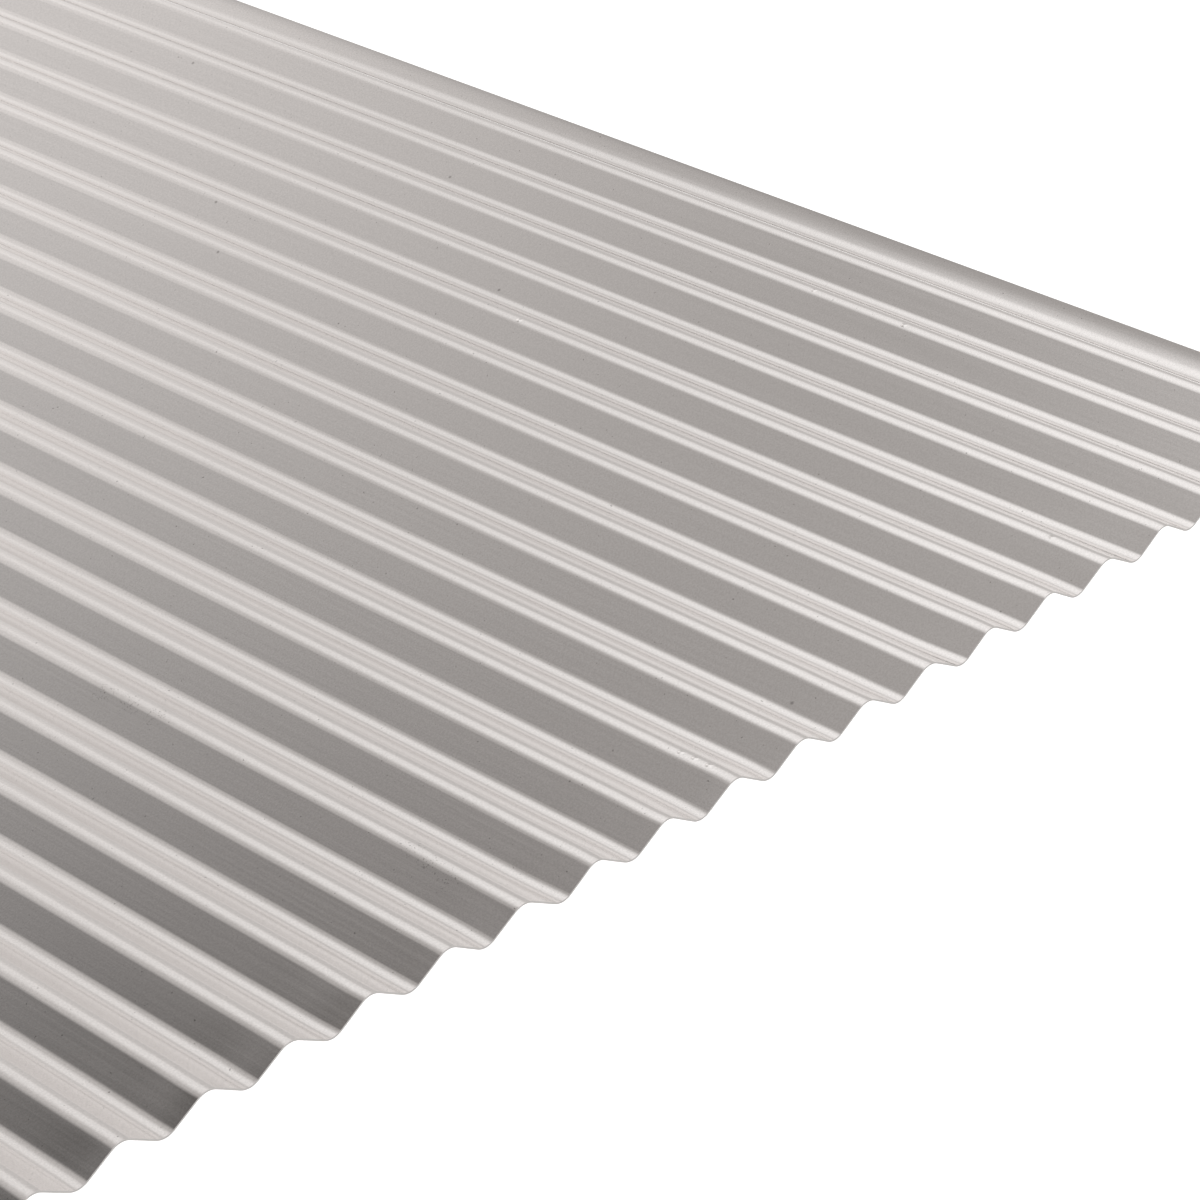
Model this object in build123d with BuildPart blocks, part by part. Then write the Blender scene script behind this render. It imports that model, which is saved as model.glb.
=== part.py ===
"""Fine-corrugated metal sheet, roll-formed from one flat strip.

The sheet lies flat, with its waves running along Y and its troughs on the plane Z = 0.
The origin is at the middle of the underside. Sizes are in millimetres.
"""

import os
from math import asin, atan2, cos, degrees, hypot, radians, sin, sqrt

from build123d import *

# Driving dimensions
sheet_length = 1800.0  # along the waves, between the two sheared ends
pitch = 26.5  # from one crest to the next
wave_depth = 6.0  # from trough to crest, on one face
thickness = 0.5  # of the metal
bend_radius = 5.75  # of the metal's middle, at each crest and trough
trough_count = 32  # troughs across the sheet
edge_reach = 9.5  # from the last trough to the sheet's side edge
edge_radius = 9.0  # of the metal's middle, on the outer side of the last trough

# The straight flank is the inner tangent of two neighbouring bends
bend_drop = wave_depth - 2 * bend_radius
bend_distance = hypot(pitch / 2, bend_drop)
flank_angle = degrees(asin(2 * bend_radius / bend_distance) + atan2(bend_drop, pitch / 2))
flank_length = sqrt(bend_distance**2 - (2 * bend_radius) ** 2)

# A side edge ends part of the way up a flank, after a wider bend
edge_bend_reach = edge_radius * sin(radians(flank_angle))
edge_flat = (edge_reach - edge_bend_reach) / cos(radians(flank_angle))

# The underside runs outside the troughs' bends and inside the crests' bends
trough_radius = bend_radius + thickness / 2
crest_radius = bend_radius - thickness / 2
edge_trough_radius = edge_radius + thickness / 2
first_trough = (-pitch * (trough_count - 1) / 2, 0)


def wave(start):
    """Draw the underside of one wave from the middle of a trough, and return the next trough's middle."""
    leaving = JernArc(start, (1, 0), trough_radius, flank_angle)
    rise = PolarLine(leaving @ 1, flank_length, direction=leaving % 1)
    crest = JernArc(rise @ 1, rise % 1, crest_radius, -2 * flank_angle)
    fall = PolarLine(crest @ 1, flank_length, direction=crest % 1)
    arriving = JernArc(fall @ 1, fall % 1, trough_radius, flank_angle)
    return arriving @ 1


def side_edge(trough, side):
    """Draw the underside from an outer trough up to the side edge, on the left (-1) or the right (1)."""
    bend = JernArc(trough, (side, 0), edge_trough_radius, side * flank_angle)
    PolarLine(bend @ 1, edge_flat, direction=bend % 1)


with BuildPart() as sheet:
    with BuildSketch(Plane.XZ) as section:
        with BuildLine() as underside:
            side_edge(first_trough, -1)
            trough = first_trough
            for crest_number in range(trough_count - 1):
                trough = wave(trough)
            side_edge(trough, 1)
            # The line's right-hand side is up, because its first arc runs to the left
            offset(amount=thickness, side=Side.RIGHT)
        make_face()
    extrude(amount=sheet_length / 2, both=True)

sheet.part.label = "corrugated_sheet"
os.makedirs("parts", exist_ok=True)
export_step(sheet.part, "parts/corrugated_sheet.step")
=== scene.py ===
"""Looks of the corrugated sheet: a fine mesh of its waves in bare rolled metal, on a white floor.

Lengths are in metres and angles in degrees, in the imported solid's frame: waves along Y, troughs on Z = 0.
"""

from math import asin, atan2, cos, exp, hypot, radians, sin

import bpy
import numpy as np
from mathutils import Matrix, Vector, noise


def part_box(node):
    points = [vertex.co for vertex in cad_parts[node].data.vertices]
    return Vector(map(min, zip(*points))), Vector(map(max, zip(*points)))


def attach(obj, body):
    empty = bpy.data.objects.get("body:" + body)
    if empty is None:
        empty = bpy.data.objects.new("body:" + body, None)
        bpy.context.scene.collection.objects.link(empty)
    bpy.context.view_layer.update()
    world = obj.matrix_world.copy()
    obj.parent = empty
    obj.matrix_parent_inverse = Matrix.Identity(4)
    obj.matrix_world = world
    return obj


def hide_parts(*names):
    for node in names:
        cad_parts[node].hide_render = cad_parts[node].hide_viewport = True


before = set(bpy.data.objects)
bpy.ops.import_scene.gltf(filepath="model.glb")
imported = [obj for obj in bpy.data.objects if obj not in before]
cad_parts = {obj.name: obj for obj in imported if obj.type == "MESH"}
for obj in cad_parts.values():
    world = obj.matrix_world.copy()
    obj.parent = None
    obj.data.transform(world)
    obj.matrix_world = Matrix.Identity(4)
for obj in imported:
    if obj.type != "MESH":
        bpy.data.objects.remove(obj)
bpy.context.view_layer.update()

# The sheet's section, as in the solid
PITCH = 0.0265
WAVE_DEPTH = 0.006
THICKNESS = 0.0005
BEND_RADIUS = 0.00575
TROUGH_COUNT = 32
EDGE_REACH = 0.0095
EDGE_RADIUS = 0.009

# The flank is the inner tangent of two neighbouring bends
BEND_DROP = WAVE_DEPTH - 2 * BEND_RADIUS
FLANK_ANGLE = asin(2 * BEND_RADIUS / hypot(PITCH / 2, BEND_DROP)) + atan2(BEND_DROP, PITCH / 2)

# A side edge curls gently from one slope to another after its bend, in place of the solid's straight flank
CURL_START = 26.0
CURL_END = 35.0

# Steps of the mesh across the section, for half a bend and for the wider one at a side edge
HALF_BEND_STEPS = 5
EDGE_STEPS = 7

# Rows of the mesh along the sheet: close together near the sheared ends, where the metal is uneven
ROWS_NEAR_END = 20
FIRST_ROW_GAP = 0.003
ROW_GROWTH = 1.09
ROWS_BETWEEN = 19
SHARP_EDGE = 40.0

# The uneven waves near a sheared end: how far they move sideways, how long they are and how fast they fade
WOBBLE = 0.001
WOBBLE_LENGTH = 0.02
WOBBLE_FADE = 0.012

# Camera, from the photograph's perspective: pitches from the trough at the near corner, and the way it looks
FOCAL_PIXELS = 4096.0
IMAGE_PIXELS = 1200.0
SENSOR_MM = 36.0
VIEW_REACH = 200.0
NEAR_TROUGH = -2.5
CAMERA_PITCHES = Vector((-18.01, -23.23, 22.05))
CAMERA_AZIMUTH = 44.51
CAMERA_ELEVATION = -29.79
CAMERA_ROLL = -1.27

# Metal: two close tones mixed by a fine grain, and faint rolling lines along the waves
PALE_METAL = (0.895, 0.872, 0.861, 1.0)
GREY_METAL = (0.825, 0.803, 0.793, 1.0)
SMOOTHEST = 0.09
ROUGHEST = 0.15
GRAIN_SIZE = 0.0006
GRAIN_HEIGHT = 0.000003
LINE_WIDTH = 0.0014
LINE_LENGTH = 0.12
LINE_HEIGHT = 0.00001
NOISE_LOW = 0.3
NOISE_HIGH = 0.7

# Marks on the metal: their places, in the photograph's pixels, and how wide they are.
# Some nicks are moved by a few pixels, to lie on the waves' bright lines as in the photograph.
SPECK_COLOR = (0.45, 0.435, 0.425, 1.0)
SPECK_WIDTH = 0.0018
PIT_LOW = 0.55
PIT_HIGH = 0.7
FLECK_SIZE = 0.0011
FLECK_LOW = 0.72
FLECK_HIGH = 0.78
SPECK_PIXELS = (
    (792, 703), (820, 738), (1034, 582), (216, 202),
    (193, 63), (218, 252), (450, 177), (499, 290),
)
RUBBED_WIDTH = 0.014
RUBBED_PIXELS = ((412, 845), (431, 860), (450, 878), (105, 692), (130, 703), (155, 714))
NICK_WIDTH = 0.0024
NICK_HEIGHT = 0.0002
NICK_PIXELS = ((681, 752), (695, 758), (709, 765), (519, 320), (814, 290), (904, 325), (1052, 537))

# Sheared edges
SHEARED_COLOR = (0.45, 0.435, 0.425, 1.0)
SHEARED_ROUGHNESS = 0.4
SHEAR_MARK = 0.00015
SHEAR_HEIGHT = 0.00002

# Room light by direction. A bright side lies toward an azimuth and elevation. It is full within one angle
# from there and gone beyond another.
ROOM_LIGHT = (0.02, 0.017, 0.015, 1.0)
OPEN_FRONT = {"toward": (-20.0, 30.0), "full": 80.0, "gone": 99.0, "light": (0.4, 0.385, 0.375, 1.0)}
HIGH_LAMP = {"toward": (10.0, 60.0), "full": 25.0, "gone": 44.0, "light": (0.6, 0.6, 0.6, 1.0)}
LOW_WALL = {"toward": (55.0, -10.0), "full": 40.0, "gone": 50.0, "light": (0.17, 0.167, 0.165, 1.0)}
LEFT_WALL = {"toward": (90.0, 5.0), "full": 30.0, "gone": 50.0, "light": (0.46, 0.45, 0.445, 1.0)}
BEHIND_CAMERA = {"toward": (225.0, 0.0), "full": 40.0, "gone": 70.0, "light": (0.5, 0.5, 0.5, 1.0)}
BRIGHT_SIDES = (OPEN_FRONT, HIGH_LAMP, LOW_WALL, LEFT_WALL, BEHIND_CAMERA)

# Floor
FLOOR_REACH = 60.0
FLOOR_COLOR = (0.8, 0.8, 0.8, 1.0)
FLOOR_GLOW = 0.7


def arc(centre_x, centre_z, radius, angles):
    """Points of a bend's middle, as x, z and slope. A negative radius bends down, as at a crest."""
    return np.stack([centre_x + radius * np.sin(angles), centre_z - radius * np.cos(angles), angles], axis=1)


def one_wave():
    """The metal's middle from the middle of a trough to just before the next one."""
    out = np.linspace(0, FLANK_ANGLE, HALF_BEND_STEPS + 1)
    over = np.linspace(FLANK_ANGLE, -FLANK_ANGLE, 2 * HALF_BEND_STEPS + 1)
    leaving = arc(0, BEND_RADIUS, BEND_RADIUS, out)
    crest = arc(PITCH / 2, WAVE_DEPTH - BEND_RADIUS, -BEND_RADIUS, over)
    arriving = arc(PITCH, BEND_RADIUS, BEND_RADIUS, -out[::-1])
    rise = (leaving[-1:] + crest[:1]) / 2
    fall = (crest[-1:] + arriving[:1]) / 2
    return np.concatenate([leaving, rise, crest, fall, arriving[:-1]])


def side_edge():
    """The metal's middle from the middle of the last trough up to the right-hand side edge."""
    start = radians(CURL_START)
    end = radians(CURL_END)
    bend = arc(0, EDGE_RADIUS, EDGE_RADIUS, np.linspace(0, start, EDGE_STEPS + 1))
    reach = EDGE_REACH - THICKNESS / 2 * (sin(end) - sin(FLANK_ANGLE))
    radius = (reach - bend[-1, 0]) / (sin(end) - sin(start))
    centre_x = bend[-1, 0] - radius * sin(start)
    centre_z = bend[-1, 1] + radius * cos(start)
    curl = arc(centre_x, centre_z, radius, np.linspace(start, end, EDGE_STEPS + 1))
    return np.concatenate([bend, curl[1:]])


def middle_line():
    """The metal's middle across the sheet: x, z and slope of each point, from left to right."""
    last = PITCH * (TROUGH_COUNT - 1) / 2
    edge = side_edge() + [last, 0, 0]
    wave = one_wave()
    parts = [edge[:0:-1] * [-1, 1, -1]]
    for number in range(TROUGH_COUNT - 1):
        parts.append(wave + [number * PITCH - last, 0, 0])
    parts.append(edge)
    return np.concatenate(parts)


def row_places(half_length):
    """Places of the mesh's rows along Y."""
    gaps = FIRST_ROW_GAP * ROW_GROWTH ** np.arange(ROWS_NEAR_END)
    near = np.concatenate([[0], np.cumsum(gaps)])
    between = np.linspace(near[-1] - half_length, half_length - near[-1], ROWS_BETWEEN + 2)[1:-1]
    return np.concatenate([near - half_length, between, half_length - near[::-1]])


def sideways(x, y, half_length):
    """How far the waves stand sideways near a sheared end. The side edges stay in line."""
    fade = exp((abs(y) - half_length) / WOBBLE_FADE)
    inside = min(1.0, max(0.0, PITCH * TROUGH_COUNT / 2 - PITCH / 2 - abs(x)) / PITCH)
    return WOBBLE * fade * inside * noise.noise(Vector((x / PITCH, y / WOBBLE_LENGTH, 0.0)))


def quads(grid):
    """Faces between the neighbouring points of a grid of point numbers."""
    return np.stack([grid[:-1, :-1], grid[:-1, 1:], grid[1:, 1:], grid[1:, :-1]], axis=-1).reshape(-1, 4)


def sheet_mesh():
    """The sheet as one closed mesh: upper face, underside, sheared ends and side edges."""
    low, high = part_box("corrugated_sheet")
    half_length = (high[1] - low[1]) / 2
    x, z, slope = middle_line().T
    rows = row_places(half_length)
    shifts = np.array([[sideways(across, y, half_length) for across in x] for y in rows])
    lean = np.gradient(shifts, rows, axis=0)
    faces_out = np.array([[1], [-1]])
    points = np.empty((len(rows), 2, len(x), 3))
    points[..., 0] = x - faces_out * THICKNESS / 2 * np.sin(slope) + shifts[:, None]
    points[..., 1] = rows[:, None, None]
    points[..., 2] = z + faces_out * THICKNESS / 2 * np.cos(slope) + THICKNESS / 2
    normals = np.empty_like(points)
    normals[..., 0] = -faces_out * np.sin(slope)
    normals[..., 1] = faces_out * np.sin(slope) * lean[:, None]
    normals[..., 2] = faces_out * np.cos(slope)
    numbers = np.arange(points[..., 0].size).reshape(points.shape[:3])
    upper = numbers[:, 0]
    under = numbers[:, 1]
    surfaces = np.concatenate([quads(upper), quads(under[:, ::-1])])
    left_edge = quads(np.stack([under[:, 0], upper[:, 0]], axis=1))
    right_edge = quads(np.stack([upper[:, -1], under[:, -1]], axis=1))
    front_end = quads(np.stack([under[0], upper[0]]))
    back_end = quads(np.stack([upper[-1], under[-1]]))
    cut = np.concatenate([left_edge, right_edge, front_end, back_end])
    mesh = bpy.data.meshes.new("sheet")
    mesh.from_pydata(points.reshape(-1, 3), [], np.concatenate([surfaces, cut]))
    mesh.polygons.foreach_set("material_index", np.repeat([0, 1], [len(surfaces), len(cut)]))
    mesh.shade_smooth()
    mesh.set_sharp_from_angle(angle=radians(SHARP_EDGE))
    plain = np.zeros((cut.size, 3))
    mesh.normals_split_custom_set(np.concatenate([normals.reshape(-1, 3)[surfaces.ravel()], plain]))
    return mesh


def add_node(tree, kind, inputs=None, **settings):
    """Adds a node. Each input is a plain value or another node's output."""
    node = tree.nodes.new("ShaderNode" + kind)
    for name, value in settings.items():
        setattr(node, name, value)
    for place, value in (inputs or {}).items():
        if isinstance(value, bpy.types.NodeSocket):
            tree.links.new(value, node.inputs[place])
        else:
            node.inputs[place].default_value = value
    return node


def calculate(tree, operation, first, second):
    """Output of a Math node."""
    return add_node(tree, "Math", {0: first, 1: second}, operation=operation).outputs[0]


def ramp(tree, value, start, end, low=0.0, high=1.0):
    """A soft step from low to high as the value goes from start to end."""
    inputs = {"Value": value, "From Min": start, "From Max": end, "To Min": low, "To Max": high}
    return add_node(tree, "MapRange", inputs, interpolation_type="SMOOTHSTEP").outputs["Result"]


def cloud(tree, across, along):
    """Noise with soft spots of the given size across and along the waves."""
    place = add_node(tree, "TexCoord").outputs["Object"]
    scale = (1 / across, 1 / along, 1 / across)
    scaled = add_node(tree, "VectorMath", {0: place, 1: scale}, operation="MULTIPLY").outputs[0]
    return add_node(tree, "TexNoise", {"Vector": scaled, "Scale": 1.0}).outputs["Fac"]


def near_marks(tree, centres, width):
    """1 in the middle of each mark and 0 outside them all."""
    place = add_node(tree, "TexCoord").outputs["Object"]
    near = 0.0
    for centre in centres:
        gap = add_node(tree, "VectorMath", {0: place, 1: centre}, operation="DISTANCE").outputs["Value"]
        near = calculate(tree, "MAXIMUM", ramp(tree, gap, 0.0, width / 2, 1.0, 0.0), near)
    return near


def new_material(name):
    """An empty node material and its output node."""
    material = bpy.data.materials.new(name)
    material.use_nodes = True
    material.node_tree.nodes.clear()
    return material, add_node(material.node_tree, "OutputMaterial")


def metal(specks, rubbed, nicks):
    """Bare rolled metal, with its marks at the given places."""
    material, output = new_material("metal")
    tree = material.node_tree
    grain = cloud(tree, GRAIN_SIZE, GRAIN_SIZE)
    lines = cloud(tree, LINE_WIDTH, LINE_LENGTH)
    tone = ramp(tree, grain, NOISE_LOW, NOISE_HIGH)
    color = add_node(tree, "MixRGB", {"Fac": tone, "Color1": GREY_METAL, "Color2": PALE_METAL}).outputs[0]
    pitted = ramp(tree, grain, PIT_LOW, PIT_HIGH)
    pits = calculate(tree, "MULTIPLY", near_marks(tree, rubbed, RUBBED_WIDTH), pitted)
    flecks = ramp(tree, cloud(tree, FLECK_SIZE, FLECK_SIZE), FLECK_LOW, FLECK_HIGH)
    dark = calculate(tree, "MAXIMUM", near_marks(tree, specks, SPECK_WIDTH), pits)
    dark = calculate(tree, "MAXIMUM", dark, flecks)
    color = add_node(tree, "MixRGB", {"Fac": dark, "Color1": color, "Color2": SPECK_COLOR}).outputs[0]
    rough = ramp(tree, lines, NOISE_LOW, NOISE_HIGH, SMOOTHEST, ROUGHEST)
    rolled = add_node(tree, "Bump", {"Height": lines, "Distance": LINE_HEIGHT}).outputs[0]
    grained = add_node(tree, "Bump", {"Height": grain, "Distance": GRAIN_HEIGHT, "Normal": rolled}).outputs[0]
    nicked = near_marks(tree, nicks, NICK_WIDTH)
    normal = add_node(tree, "Bump", {"Height": nicked, "Distance": NICK_HEIGHT, "Normal": grained}).outputs[0]
    inputs = {"Base Color": color, "Roughness": rough, "Normal": normal, "Metallic": 1.0}
    shader = add_node(tree, "BsdfPrincipled", inputs)
    tree.links.new(shader.outputs[0], output.inputs["Surface"])
    return material


def sheared_metal():
    """The duller metal of the sheared ends and side edges, with fine marks of the blade."""
    material, output = new_material("sheared_metal")
    tree = material.node_tree
    marks = cloud(tree, SHEAR_MARK, SHEAR_MARK)
    normal = add_node(tree, "Bump", {"Height": marks, "Distance": SHEAR_HEIGHT}).outputs[0]
    inputs = {"Base Color": SHEARED_COLOR, "Roughness": SHEARED_ROUGHNESS, "Normal": normal, "Metallic": 1.0}
    shader = add_node(tree, "BsdfPrincipled", inputs)
    tree.links.new(shader.outputs[0], output.inputs["Surface"])
    return material


def toward(azimuth, elevation):
    """The unit direction at an azimuth from +X towards +Y and an elevation."""
    flat = cos(radians(elevation))
    return Vector((flat * cos(radians(azimuth)), flat * sin(radians(azimuth)), sin(radians(elevation))))


def room():
    """Light from all round: the dim room, and its bright sides with soft borders."""
    world = bpy.data.worlds.new("room")
    bpy.context.scene.world = world
    world.use_nodes = True
    tree = world.node_tree
    tree.nodes.clear()
    direction = add_node(tree, "TexCoord").outputs["Generated"]
    light = add_node(tree, "Background", {"Color": ROOM_LIGHT}).outputs[0]
    for side in BRIGHT_SIDES:
        inputs = {0: direction, 1: toward(*side["toward"])}
        facing = add_node(tree, "VectorMath", inputs, operation="DOT_PRODUCT").outputs["Value"]
        strength = ramp(tree, facing, cos(radians(side["gone"])), cos(radians(side["full"])))
        bright = add_node(tree, "Background", {"Color": side["light"], "Strength": strength})
        light = add_node(tree, "AddShader", {0: light, 1: bright.outputs[0]}).outputs[0]
    add_node(tree, "OutputWorld", {"Surface": light})


def floor():
    """A plain white floor that keeps the sheet's shadow."""
    mesh = bpy.data.meshes.new("floor")
    r = FLOOR_REACH
    mesh.from_pydata([(-r, -r, 0), (r, -r, 0), (r, r, 0), (-r, r, 0)], [], [(0, 1, 2, 3)])
    ground = bpy.data.objects.new("floor", mesh)
    bpy.context.collection.objects.link(ground)
    material, output = new_material("floor")
    tree = material.node_tree
    path = add_node(tree, "LightPath").outputs
    seen = calculate(tree, "MAXIMUM", path["Is Camera Ray"], path["Is Glossy Ray"])
    seen = calculate(tree, "MAXIMUM", seen, path["Is Transmission Ray"])
    glow = add_node(tree, "Emission", {"Strength": calculate(tree, "MULTIPLY", seen, FLOOR_GLOW)})
    matt = add_node(tree, "BsdfDiffuse", {"Color": FLOOR_COLOR})
    both = add_node(tree, "AddShader", {0: glow.outputs[0], 1: matt.outputs[0]})
    tree.links.new(both.outputs[0], output.inputs["Surface"])
    mesh.materials.append(material)


def view_axes():
    """Unit directions to the right of the picture, up it and into it."""
    forward = toward(CAMERA_AZIMUTH, CAMERA_ELEVATION)
    level = toward(CAMERA_AZIMUTH - 90, 0)
    roll = radians(CAMERA_ROLL)
    right = cos(roll) * level + sin(roll) * level.cross(forward)
    return right, right.cross(forward), forward


def camera():
    """The camera at the photograph's place and angle."""
    data = bpy.data.cameras.new("camera")
    data.sensor_width = SENSOR_MM
    data.lens = SENSOR_MM * FOCAL_PIXELS / IMAGE_PIXELS
    data.clip_end = VIEW_REACH
    eye = bpy.data.objects.new("camera", data)
    bpy.context.collection.objects.link(eye)
    low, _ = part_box("corrugated_sheet")
    place = CAMERA_PITCHES * PITCH + Vector((NEAR_TROUGH * PITCH, low[1], THICKNESS / 2))
    right, up, forward = view_axes()
    turn = Matrix((right, up, -forward)).transposed()
    eye.matrix_world = Matrix.Translation(place) @ turn.to_4x4()
    bpy.context.scene.camera = eye
    return place


def seen_places(piece, eye, pixels):
    """Places on a piece that show at the given pixels of the photograph."""
    right, up, forward = view_axes()
    places = []
    for column, row in pixels:
        across = (column - IMAGE_PIXELS / 2) / FOCAL_PIXELS
        down = (row - IMAGE_PIXELS / 2) / FOCAL_PIXELS
        hit, place, _, _ = piece.ray_cast(eye, forward + across * right - down * up)
        if hit:
            places.append(place)
    return places


sheet = bpy.data.objects.new("sheet", sheet_mesh())
bpy.context.collection.objects.link(sheet)
bpy.context.view_layer.update()
eye = camera()
marks = [seen_places(sheet, eye, pixels) for pixels in (SPECK_PIXELS, RUBBED_PIXELS, NICK_PIXELS)]
sheet.data.materials.append(metal(*marks))
sheet.data.materials.append(sheared_metal())
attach(sheet, "root")
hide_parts("corrugated_sheet")

room()
floor()
bpy.context.scene.view_settings.view_transform = "Standard"
